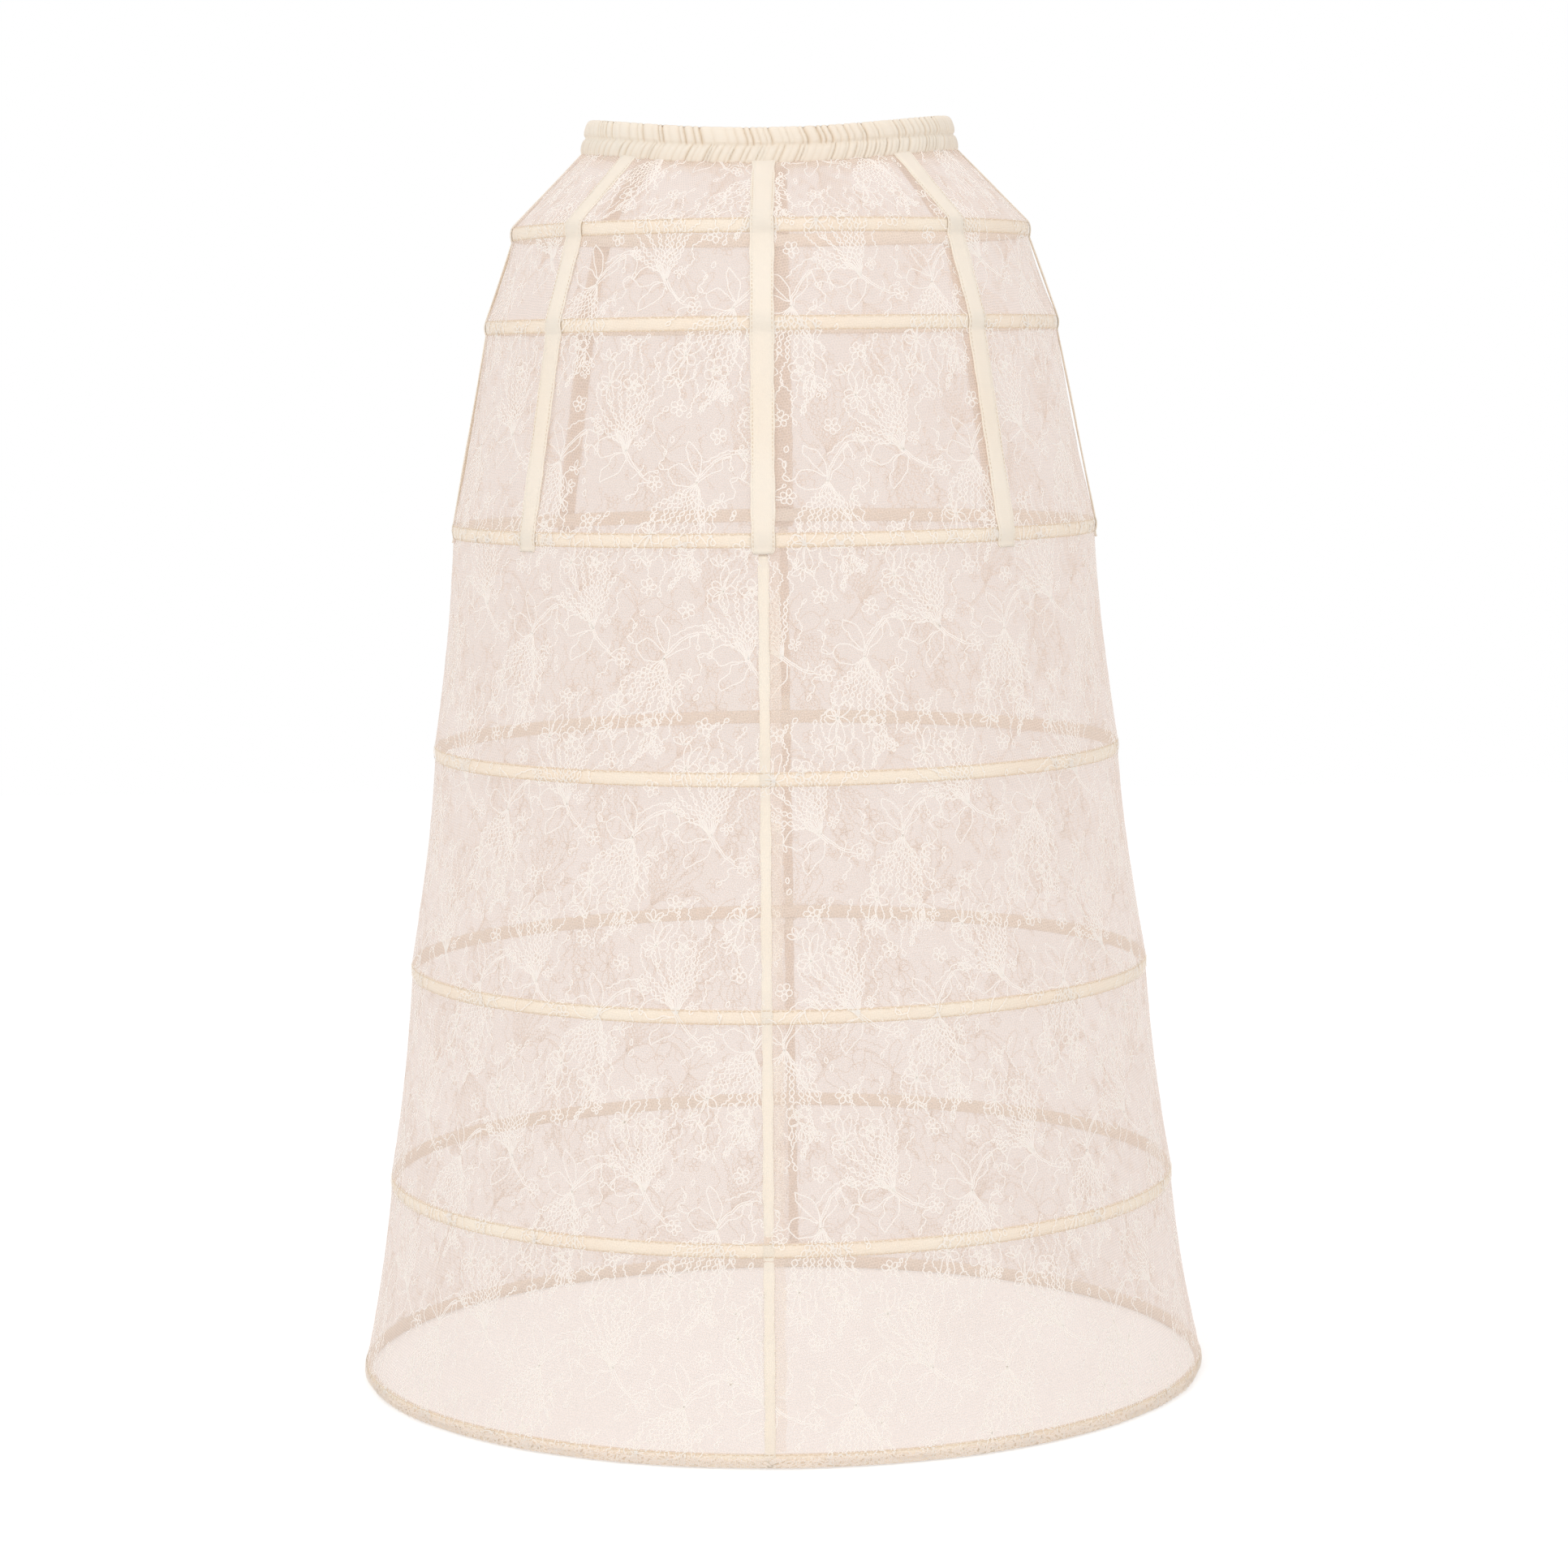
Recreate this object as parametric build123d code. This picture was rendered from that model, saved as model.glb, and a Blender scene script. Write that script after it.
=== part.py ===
# Crinoline cage: a see-through lace skirt held out by seven sprung hoops.
# Each hoop runs in the cloth casing sewn inside the lace, with its ends held in a crimped joiner.
# Eight tapes run over the lace from the elastic waistband to the third hoop and carry the load.
# The lace is drawn out over each hoop and stitched down along both edges of its casing.
# Millimetres, Z up, origin on the floor under the middle of the skirt, front towards minus Y.
# Left and right are the wearer's, so left is plus X.

import math
import os

from build123d import *

# Radius of the lace over each hoop, and the rise from one hoop to the next
hem_radius = 302.0
hoop_6_radius = 281.5
hoop_5_radius = 264.0
hoop_4_radius = 244.5
hoop_3_radius = 228.5
hoop_2_radius = 202.5
hoop_1_radius = 183.0
hem_to_hoop_6 = 135.5
hoop_6_to_5 = 152.0
hoop_5_to_4 = 155.0
hoop_4_to_3 = 156.5
hoop_3_to_2 = 142.5
hoop_2_to_1 = 65.0
hoop_1_to_waist = 57.0

# Waistband: a folded strip over two elastics, gathered, with its front lower than its sides
waist_radius = 133.0
waist_taper = 5.0
waist_dip = 13.0
waist_back_dip = 3.0
folds_per_flat = 3
gather_depth = 1.4
stitch_pinch = 0.8
waist_cloth = 0.8
waist_channel = 2.0
waist_seam = 2.0
elastic_width = 7.0
elastic_thickness = 1.2
elastic_ease = 0.5
waist_heading = 4.0

# Lace, tapes and the strips that cover the two long seams
lace_thickness = 0.8
lace_floor_gap = 0.2
tape_width = 16.0
tape_thickness = 1.0
tape_tail = 4.0
seam_strip_width = 7.0
seam_strip_thickness = 0.8
sewn_gap = 0.2
tape_stand_off = 1.2
tape_top_gap = 1.0

# Hoops, casings and joiners
casing_width = 10.0
casing_thickness = 0.8
hoop_width = 5.0
hoop_thickness = 0.9
hoop_end_gap = 1.0
joiner_length = 20.0
joiner_wall = 0.25
joiner_lip = 0.3
joiner_play = 0.05

# Every ring is drawn with flats, and each tape and seam lies on the middle of one.
# With 40 flats the hem stays within 1 mm of its circle.
flats_between_tapes = 5
tape_names = ["front", "front_left", "left", "back_left", "back", "back_right", "right", "front_right"]
flats = flats_between_tapes * len(tape_names)
flat_angle = 360.0 / flats
corner_reach = 1.0 / math.cos(math.radians(flat_angle / 2))

# Worked out from the sizes above
half_casing = casing_width / 2
hoop_6_height = half_casing + hem_to_hoop_6
hoop_5_height = hoop_6_height + hoop_6_to_5
hoop_4_height = hoop_5_height + hoop_5_to_4
hoop_3_height = hoop_4_height + hoop_4_to_3
hoop_2_height = hoop_3_height + hoop_3_to_2
hoop_1_height = hoop_2_height + hoop_2_to_1
waist_height = hoop_1_height + hoop_1_to_waist
row_height = elastic_width + 2 * elastic_ease
waist_stitch = waist_seam + row_height
waist_top = waist_stitch + row_height + waist_heading
channel_radius = waist_radius - gather_depth - stitch_pinch - waist_cloth
elastic_radius = channel_radius - (waist_channel - elastic_thickness) / 2
lace_waist_radius = channel_radius - (waist_channel - lace_thickness) / 2

# The lace stands out over a hoop by as much as the joiner needs between it and the casing
joiner_height = hoop_width + 2 * joiner_lip
joiner_thickness = hoop_thickness + 2 * joiner_wall
joiner_share = joiner_height / 2 / (half_casing - lace_floor_gap)
lace_bulge = (joiner_thickness + 2 * joiner_play - sewn_gap) / (1 - joiner_share)
joiner_inset = lace_bulge * joiner_share + lace_thickness + joiner_play
hoop_inset = joiner_inset + joiner_wall
casing_inset = lace_bulge + lace_thickness + sewn_gap

# Each hoop by name, with the radius of the lace over it and its height
hoops = {
    "hem_hoop": (hem_radius, half_casing),
    "hoop_6": (hoop_6_radius, hoop_6_height),
    "hoop_5": (hoop_5_radius, hoop_5_height),
    "hoop_4": (hoop_4_radius, hoop_4_height),
    "hoop_3": (hoop_3_radius, hoop_3_height),
    "hoop_2": (hoop_2_radius, hoop_2_height),
    "hoop_1": (hoop_1_radius, hoop_1_height),
}

# The lace from the hem up, as (outer radius, height): in, out and in again at every casing
outline = []
for radius, height in hoops.values():
    outline.append((radius - lace_bulge, max(height - half_casing, lace_floor_gap)))
    outline.append((radius, height))
    outline.append((radius - lace_bulge, height + half_casing))


def lace_radius(height):
    """Outer radius of the lace at a height between the hem and the first hoop."""
    for (low_radius, low), (high_radius, high) in zip(outline, outline[1:]):
        if low <= height <= high:
            return low_radius + (height - low) / (high - low) * (high_radius - low_radius)


def polygon(radius, height):
    """A level face with the drawn number of flats, each flat at the given radius."""
    half_flat = Rot(0, 0, flat_angle / 2)
    return Pos(0, 0, height) * half_flat * RegularPolygon(radius * corner_reach, flats)


def ring(radius, thickness, low, height):
    """A band with upright walls, its outer face at the given radius."""
    outer = extrude(polygon(radius, low), height)
    return outer - extrude(polygon(radius - thickness, low), height)


def at_waist(radius, azimuth, height):
    """A point on the waistband, which tapers upwards and is lower at the front and the back.

    Between two corners of the drawn flats it lies on a plane, so every face of the waist is flat.
    """
    first = math.floor(azimuth / flat_angle - 0.5) + 0.5
    corners = [math.radians(flat_angle * (first + k)) for k in (0, 1)]
    dips = [waist_dip if math.cos(turn) > 0 else waist_back_dip for turn in corners]
    drops = [dip * math.cos(turn) ** 2 / waist_radius for dip, turn in zip(dips, corners)]
    turn = math.radians(azimuth)
    span = math.radians(flat_angle)
    shares = [math.sin(corners[1] - turn) / math.sin(span), math.sin(turn - corners[0]) / math.sin(span)]
    taken_in = 1 - waist_taper / waist_radius * height / waist_top
    drop = radius * taken_in * sum(share * fall for share, fall in zip(shares, drops))
    reach = radius * taken_in
    return Vector(reach * math.sin(turn), -reach * math.cos(turn), waist_height + height - drop)


def wall(*corners):
    """A flat face through its corners."""
    return make_face(Polyline(*corners, close=True))


def waist_ring(section):
    """A closed ring in the waistband, through (radius, height) points that are given in order."""
    walls = []
    for k in range(flats):
        edges = []
        for radius, height in section:
            edges.append([at_waist(radius * corner_reach, flat_angle * (k + n), height) for n in (-0.5, 0.5)])
        for low, top in zip(edges, edges[1:] + edges[:1]):
            walls.append(wall(*low, *top[::-1]))
    return Solid(Shell(walls))


def cut_edge(radius, height, in_waistband):
    """One panel's edge as points, from the front seam round the wearer's left to the back seam."""
    angles = [0.0] + [flat_angle * (k + 0.5) for k in range(flats // 2)] + [180.0]
    points = []
    for angle in angles:
        reach = radius if angle in (0.0, 180.0) else radius * corner_reach
        turn = math.radians(angle)
        level = Vector(reach * math.sin(turn), -reach * math.cos(turn), height)
        points.append(at_waist(reach, angle, height) if in_waistband else level)
    return points


def make_lace_panel():
    """The left panel: half of the skirt, from the hem into the seam of the waistband."""
    cuts = [(radius, height, False) for radius, height in outline]
    cuts += [(lace_waist_radius, height, True) for height in (0.0, waist_seam)]
    outer = [cut_edge(*cut) for cut in cuts]
    inner = [cut_edge(radius - lace_thickness, height, placed) for radius, height, placed in cuts]
    walls = []
    for level in range(len(cuts) - 1):
        # From the level edge to the waist, which isn't level, the lace twists, so it is made of triangles
        twisted = cuts[level][2] != cuts[level + 1][2]
        for side in (outer, inner):
            low, top = side[level], side[level + 1]
            for k in range(len(low) - 1):
                if twisted:
                    walls.append(wall(low[k], low[k + 1], top[k + 1]))
                    walls.append(wall(low[k], top[k + 1], top[k]))
                else:
                    walls.append(wall(low[k], low[k + 1], top[k + 1], top[k]))
        for end in (0, -1):
            low_end = (outer[level][end], inner[level][end])
            top_end = (inner[level + 1][end], outer[level + 1][end])
            walls.append(wall(*low_end, *top_end))
    for level in (0, -1):
        for k in range(len(outer[level]) - 1):
            walls.append(wall(*outer[level][k : k + 2], *inner[level][k : k + 2][::-1]))
    return Solid(Shell(walls))


def make_waistband():
    """The gathered strip, folded over its top edge, with its channel open downwards."""
    levels = [
        (0.0, stitch_pinch),
        (waist_stitch / 2, 0.0),
        (waist_stitch, stitch_pinch),
        ((waist_stitch + waist_top) / 2, 0.0),
        (waist_top, stitch_pinch),
    ]
    channel_top = waist_top - waist_cloth
    channel_back = channel_radius - waist_channel
    lining = channel_back - waist_cloth
    inside = [(channel_radius, 0.0), (channel_radius, channel_top), (channel_back, channel_top)]
    inside += [(channel_back, 0.0), (lining, 0.0), (lining, waist_top)]
    fold_angle = flat_angle / folds_per_flat
    walls = []
    for k in range(flats):
        first = flat_angle * (k - 0.5)
        outside = []
        for height, pinch in levels:
            row = []
            for n in range(folds_per_flat + 1):
                depth = gather_depth * ((folds_per_flat * k + n) % 2)
                radius = (waist_radius - depth) * (1 - pinch / waist_radius)
                row.append(at_waist(radius, first + n * fold_angle, height))
            outside.append(row)
        for low, top in zip(outside, outside[1:]):
            for n in range(folds_per_flat):
                walls.append(wall(low[n], low[n + 1], top[n + 1], top[n]))
        edges = []
        for radius, height in inside:
            edges.append([at_waist(radius * corner_reach, first + turn, height) for turn in (0, flat_angle)])
        for low, top in zip(edges, edges[1:]):
            walls.append(wall(*low, *top[::-1]))
        walls.append(wall(*outside[0], *edges[0][::-1]))
        walls.append(wall(*outside[-1], *edges[-1][::-1]))
    return Solid(Shell(walls))


def make_elastic(low):
    """One flat elastic, lying in the channel of the waistband."""
    inner = elastic_radius - elastic_thickness
    high = low + elastic_width
    return waist_ring([(inner, low), (elastic_radius, low), (elastic_radius, high), (inner, high)])


def make_strip(path, thickness, width, azimuth):
    """A flat strip of cloth along (radius, height) points, centred on one azimuth."""
    outer = [(radius + thickness, height) for radius, height in path]
    side = make_face(Plane.XZ * Polyline(*path, *outer[::-1], close=True))
    strip = extrude(side, width / 2, both=True)
    return Rot(0, 0, azimuth - 90) * strip


def make_tape(azimuth):
    """A tape from under the waistband over the first two hoops to its tail below the third."""
    lace_top = at_waist(lace_waist_radius, azimuth, 0.0).Z
    edge_radius, edge_height = outline[-1]
    lace_slope = (edge_radius - lace_waist_radius) / (lace_top - edge_height)
    end_height = hoop_3_height - half_casing - tape_tail
    path = [
        (lace_waist_radius + lace_slope * tape_top_gap + tape_stand_off, lace_top - tape_top_gap),
        (edge_radius + sewn_gap, edge_height),
        (hoop_1_radius + sewn_gap, hoop_1_height),
        (hoop_2_radius + sewn_gap, hoop_2_height),
        (hoop_3_radius + sewn_gap, hoop_3_height),
        (lace_radius(end_height) + sewn_gap, end_height),
    ]
    return make_strip(path, tape_thickness, tape_width, azimuth)


def make_seam_strip(azimuth):
    """The narrow strip over a long seam, from the tail of the tape down to the hem."""
    top = hoop_3_height - half_casing - tape_tail - sewn_gap
    path = [(lace_radius(top) + sewn_gap, top)]
    path += [(radius + sewn_gap, height) for radius, height in reversed(outline) if height < top]
    return make_strip(path, seam_strip_thickness, seam_strip_width, azimuth)


def make_hoop(radius, height):
    """A flat sprung hoop with a fine gap between its two ends at the back."""
    band = ring(radius - hoop_inset, hoop_thickness, height - hoop_width / 2, hoop_width)
    reach = 2 * radius
    return band - Pos(0, reach / 2, height) * Box(hoop_end_gap, reach, 2 * hoop_width)


def make_joiner(radius, height):
    """The crimped sleeve round both ends of a hoop."""
    shell = Box(joiner_length, joiner_thickness, joiner_height)
    shell -= Box(joiner_length, hoop_thickness, hoop_width)
    return Pos(0, radius - hoop_inset - hoop_thickness / 2, height) * shell


def make_casing(radius, height):
    """The strip sewn inside the lace that holds a hoop against it."""
    return ring(radius - casing_inset, casing_thickness, height - half_casing, casing_width)


pieces = {}
pieces["waistband"] = make_waistband()
pieces["lower_waist_elastic"] = make_elastic(waist_seam + elastic_ease)
pieces["upper_waist_elastic"] = make_elastic(waist_stitch + elastic_ease)
pieces["left_lace_panel"] = make_lace_panel()
pieces["right_lace_panel"] = mirror(pieces["left_lace_panel"], about=Plane.YZ)
pieces["front_seam_strip"] = make_seam_strip(0.0)
pieces["back_seam_strip"] = make_seam_strip(180.0)
for number, name in enumerate(tape_names):
    pieces[name + "_tape"] = make_tape(number * flats_between_tapes * flat_angle)
for name, (radius, height) in hoops.items():
    pieces[name] = make_hoop(radius, height)
    pieces[name + "_joiner"] = make_joiner(radius, height)
    pieces[name + "_casing"] = make_casing(radius, height)

os.makedirs("parts", exist_ok=True)
for name, piece in pieces.items():
    export_step(piece, os.path.join("parts", name + ".step"))
    print(name, round(piece.volume, 1))
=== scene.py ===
# Crinoline cage: see-through corded lace over sprung hoops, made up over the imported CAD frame.
# Metres, Z up, front towards minus Y, wearer's left towards plus X.

import math
import random

import bpy
import numpy as np
from bpy.props import FloatProperty, FloatVectorProperty, IntProperty, PointerProperty
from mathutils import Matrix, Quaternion, Vector


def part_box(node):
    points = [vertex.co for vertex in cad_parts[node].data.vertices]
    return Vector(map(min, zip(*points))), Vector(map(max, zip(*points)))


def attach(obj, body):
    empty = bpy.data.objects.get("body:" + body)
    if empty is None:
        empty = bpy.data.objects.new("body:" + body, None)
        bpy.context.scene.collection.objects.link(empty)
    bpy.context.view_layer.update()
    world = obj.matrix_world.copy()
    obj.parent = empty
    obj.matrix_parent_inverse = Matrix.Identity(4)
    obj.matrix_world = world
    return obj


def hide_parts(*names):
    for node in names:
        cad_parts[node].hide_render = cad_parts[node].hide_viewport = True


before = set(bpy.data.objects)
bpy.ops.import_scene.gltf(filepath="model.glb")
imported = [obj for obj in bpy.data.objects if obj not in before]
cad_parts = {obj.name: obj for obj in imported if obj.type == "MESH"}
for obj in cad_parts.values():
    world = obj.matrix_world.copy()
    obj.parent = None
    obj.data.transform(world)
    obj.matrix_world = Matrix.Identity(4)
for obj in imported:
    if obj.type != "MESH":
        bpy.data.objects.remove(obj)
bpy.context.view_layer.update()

bl_info = {
    "name": "Crinoline cage",
    "version": (1, 0, 0),
    "blender": (4, 5, 0),
    "location": "3D View > Sidebar > Crinoline",
    "description": "Lace, casings, tapes and gathered waistband of a standing crinoline cage",
    "category": "Object",
}

MM = 0.001
HOOPS = ["hem_hoop", "hoop_6", "hoop_5", "hoop_4", "hoop_3", "hoop_2", "hoop_1"]
TAPES = ["front", "front_left", "left", "back_left", "back", "back_right", "right", "front_right"]
SIDES = (("left", 1), ("right", -1))

# The casing lies this far inside the lace that covers it
CASING_INSET = 4.12 * MM
HALF_CASING = 5.0 * MM
LACE_LOWEST = 0.6 * MM
# The waistband tapers upwards, and its seam is lower at the front and a little lower at the back
WAIST_HEIGHT = 868.5 * MM
WAIST_TOP = 22.0 * MM
WAIST_RADIUS = 133.0 * MM
WAIST_TAPER = 5.0 * MM
WAIST_DIP = 13.0 * MM
WAIST_BACK_DIP = 3.0 * MM
LACE_WAIST_RADIUS = 130.8 * MM
# The third hoop carries the tails of the tapes, this far under its casing
TAPE_TAIL = 4.0 * MM
# Each panel is cut as half of a cone: its radius grows by this share of the way down
PANEL_SLOPE = 0.13
# The sprays stand in rows on a panel's cut, this far apart in millimetres
SPRAYS_ACROSS = 109
SPRAYS_UP = 120
# The pattern's cords are one mesh below this height and one above it
CORDS_PART = 400 * MM
# How fine the meshes are: points across a net panel, along a hem cord and round the waist and the casings
NET_COLUMNS = 161
HEM_POINTS = 1900
WAIST_COLUMNS = 1920
CASING_COLUMNS = 400
NET_ROW = 8.0 * MM

FLOOR_HALF = 4.0
FLOOR_DROP = 0.5 * MM
# Name, place, size and power of each lamp; all of them aim at the middle of the skirt
LAMPS = (
    ("Key softbox", (-4.0, -6.5, 5.5), 4.5, 195.0),
    ("Fill softbox", (6.0, -5.5, 4.0), 4.5, 100.0),
    ("Top softbox", (0.0, 1.0, 7.0), 5.0, 48.0),
)
LAMP_AIM = Vector((0, 0, 0.45))
# The cage stands turned by 1.8 degrees from the camera, which leans by 0.66 degrees
CAMERA_LENS = 94.2
CAMERA_DISTANCE = 2.926
CAMERA_HEIGHT = 0.72
CAMERA_TURN = math.radians(1.8)
CAMERA_LEAN = math.radians(-0.66)
CAMERA_AIM_SIDE = 5.1 * MM
CAMERA_AIM_HEIGHT = 0.4197


def linear(hex_colour):
    """Turns an sRGB hex colour to Blender's linear values."""
    parts = [int(hex_colour[k : k + 2], 16) / 255 for k in (0, 2, 4)]
    return tuple(v / 12.92 if v <= 0.04045 else ((v + 0.055) / 1.055) ** 2.4 for v in parts)


# The shape of the skirt


def hoop_rows():
    """Height and lace radius of each hoop, from the hem up, as the frame has them."""
    rows = []
    for name in HOOPS:
        low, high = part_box(name + "_casing")
        rows.append(((low[2] + high[2]) / 2, high[0] + CASING_INSET))
    return rows


ROWS = hoop_rows()
PANEL_REACH = ROWS[0][1] / PANEL_SLOPE


def waist_point(radius, turn, height):
    """Points on the waistband, at a radius and at a height over its seam."""
    ahead = np.cos(turn)
    reach = radius * (1 - WAIST_TAPER / WAIST_RADIUS * height / WAIST_TOP)
    drop = np.where(ahead > 0, WAIST_DIP, WAIST_BACK_DIP) * ahead**2 * reach / WAIST_RADIUS
    return np.stack([reach * np.sin(turn), -reach * ahead, WAIST_HEIGHT + height - drop], -1)


def panel_place(cut, way):
    """Turns and runs on the skirt for points of a panel's flat cut; way is 1 on the left, -1 on the right."""
    x, down = cut[:, 0], PANEL_REACH - cut[:, 1]
    turns = way * math.pi / 2 + np.arctan2(x, down) / PANEL_SLOPE
    return turns, PANEL_REACH - np.hypot(x, down)


def panel_cut(turns, runs, way):
    """Points of the flat cut, in millimetres, for turns and runs on the skirt."""
    lean = (turns - way * math.pi / 2) * PANEL_SLOPE
    down = PANEL_REACH - runs
    return np.stack([down * np.sin(lean), PANEL_REACH - down * np.cos(lean)], -1) / MM


def skirt_outline(draw_in, sag):
    """Height and radius of the lace up its side, drawn in at the stitches and sagging between hoops."""
    points = []
    for k, (height, radius) in enumerate(ROWS):
        for step in (-1.0, -0.5, 0.0, 0.5, 1.0):
            points.append((max(height + step * HALF_CASING, LACE_LOWEST), radius - draw_in * step * step))
        if k + 1 < len(ROWS):
            next_height, next_radius = ROWS[k + 1]
            low = (height + HALF_CASING, radius - draw_in)
            high = (next_height - HALF_CASING, next_radius - draw_in)
            for step in range(1, 12):
                t = step / 12
                z = low[0] + (high[0] - low[0]) * t
                points.append((z, low[1] + (high[1] - low[1]) * t - 4 * sag * t * (1 - t)))
    return np.array(points)


class Skirt:
    """The surface of the lace: a turn round the skirt and a run up it give a place."""

    def __init__(self, draw_in=1.0 * MM, sag=2.0 * MM, ripple=0.7 * MM, gather=0.8 * MM):
        self.outline = skirt_outline(draw_in, sag)
        steps = np.hypot(*np.diff(self.outline, axis=0).T)
        self.run = np.concatenate([[0.0], np.cumsum(steps)])
        self.side = self.run[-1]
        self.low = self.outline[-1]
        self.top = self.side + math.hypot(self.low[1] - LACE_WAIST_RADIUS, WAIST_HEIGHT - self.low[0])
        self.ripple = ripple
        self.gather = gather
        self.stays = np.array([self.run_at(height) for height, _ in ROWS] + [self.top])

    def run_at(self, height):
        return float(np.interp(height, self.outline[:, 0], self.run))

    def radius_at(self, run):
        side = np.interp(run, self.run, self.outline[:, 1])
        share = np.clip((run - self.side) / (self.top - self.side), 0, 1.1)
        return side + (LACE_WAIST_RADIUS - self.low[1]) * share

    def place(self, turn, run):
        """Points on the lace. The band over the first hoop leans in to meet the waist."""
        turn, run = np.broadcast_arrays(np.asarray(turn, float), np.asarray(run, float))
        height = np.interp(run, self.run, self.outline[:, 0])
        radius = np.interp(run, self.run, self.outline[:, 1])
        share = np.clip((run - self.side) / (self.top - self.side), 0, 1.03)
        between = np.ones_like(run)
        for low, high in zip(self.stays, self.stays[1:]):
            inside = (run >= low) & (run < high)
            between = np.where(inside, np.sin(math.pi * (run - low) / (high - low)) ** 2, between)
        between = np.where(run > self.side, share * 0.3, between)
        wave = 0.5 * np.sin(17 * turn + 4.1 * np.sin(9 * run)) + 0.3 * np.sin(31 * turn + 14 * run)
        wave += 0.35 * np.sin(11 * turn - 21 * run + 1.3)
        radius = radius + self.ripple * between * wave
        side = np.stack([radius * np.sin(turn), -radius * np.cos(turn), height], -1)
        seat = waist_point(LACE_WAIST_RADIUS, turn, 0.0)
        fold = np.sin(68 * turn + 2.2 * np.sin(7 * turn)) + 0.6 * np.sin(41 * turn + 1.0)
        seat[..., 2] += self.gather * fold * share**1.5
        return side * (1 - share[..., None]) + seat * share[..., None]

    def frame_at(self, turn, run):
        """A point on the lace with the outward direction there."""
        step = 0.8 * MM
        here = self.place(turn, run)
        along = self.place(turn + step * 4, run) - here
        up = self.place(turn, run + step) - here
        out = np.cross(along, up)
        out /= np.maximum(np.linalg.norm(out, axis=-1, keepdims=True), 1e-12)
        return here, out


SKIRT = Skirt()
# The tapes and strips lie on the same skirt without its waves
SMOOTH_SKIRT = Skirt(sag=0.0, ripple=0.0, gather=0.0)
TAIL_RUN = SMOOTH_SKIRT.run_at(ROWS[HOOPS.index("hoop_3")][0] - HALF_CASING - TAPE_TAIL)


# Building meshes


def new_piece(name, points, faces, uvs, materials, slot, replaced=None, which=None, fold=None):
    """A smooth mesh object; points and UVs come in rows or as one list, and which is each face's material.

    Fold says how deep in a fold each point lies; the waistband's material paints shade in its folds by it.
    """
    mesh = bpy.data.meshes.new(name)
    mesh.from_pydata(np.reshape(points, (-1, 3)).tolist(), [], faces)
    layer = mesh.uv_layers.new(name="Cloth")
    corner = np.empty(len(mesh.loops), dtype=np.int32)
    mesh.loops.foreach_get("vertex_index", corner)
    layer.data.foreach_set("uv", np.reshape(uvs, (-1, 2)).astype(np.float32)[corner].ravel())
    mesh.polygons.foreach_set("use_smooth", [True] * len(faces))
    for material in materials:
        mesh.materials.append(material)
    if which is not None:
        mesh.polygons.foreach_set("material_index", which)
    if fold is not None:
        depth = mesh.attributes.new("Fold", "FLOAT", "POINT")
        depth.data.foreach_set("value", np.ravel(fold).astype(np.float32))
    mesh.update()
    piece = bpy.data.objects.new(name, mesh)
    bpy.context.scene.collection.objects.link(piece)
    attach(piece, "root")
    if replaced:
        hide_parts(replaced)
    return piece


def grid_faces(rows, columns, close_rows=False, close_columns=False):
    """Quads over a grid of points held row by row."""
    faces = []
    for r in range(rows if close_rows else rows - 1):
        for c in range(columns if close_columns else columns - 1):
            a, b = r * columns + c, r * columns + (c + 1) % columns
            up = ((r + 1) % rows) * columns
            faces.append((a, b, up + (c + 1) % columns, up + c))
    return faces


def section_lengths(section):
    """How far each point of a section lies along it."""
    return np.concatenate([[0.0], np.cumsum(np.hypot(*np.diff(np.array(section), axis=0).T))])


def ribbons(lines, width, lift, skirt):
    """Points, faces and UVs of thin cords or stitches on the lace, each along a line of (turns, runs)."""
    counts = np.array([len(turns) for turns, _ in lines])
    last = np.cumsum(counts) - 1
    first = last - counts + 1
    here, out = skirt.frame_at(*(np.concatenate(part) for part in zip(*lines)))
    ahead = np.empty_like(here)
    ahead[1:-1] = here[2:] - here[:-2]
    ahead[first] = here[first + 1] - here[first]
    ahead[last] = here[last] - here[last - 1]
    ahead /= np.maximum(np.linalg.norm(ahead, axis=1, keepdims=True), 1e-9)
    across = np.cross(out, ahead) * width / 2
    here = here + out * lift
    points = np.stack([here - across, here + across], 1)
    steps = np.concatenate([[0.0], np.linalg.norm(np.diff(here, axis=0), axis=1)])
    uvs = np.stack([np.tile([0.0, 1.0], len(here)), np.repeat(np.cumsum(steps) / MM, 2)], 1)
    start = 2 * np.delete(np.arange(len(here)), last)
    return points, np.stack([start, start + 1, start + 3, start + 2], 1).tolist(), uvs


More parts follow.
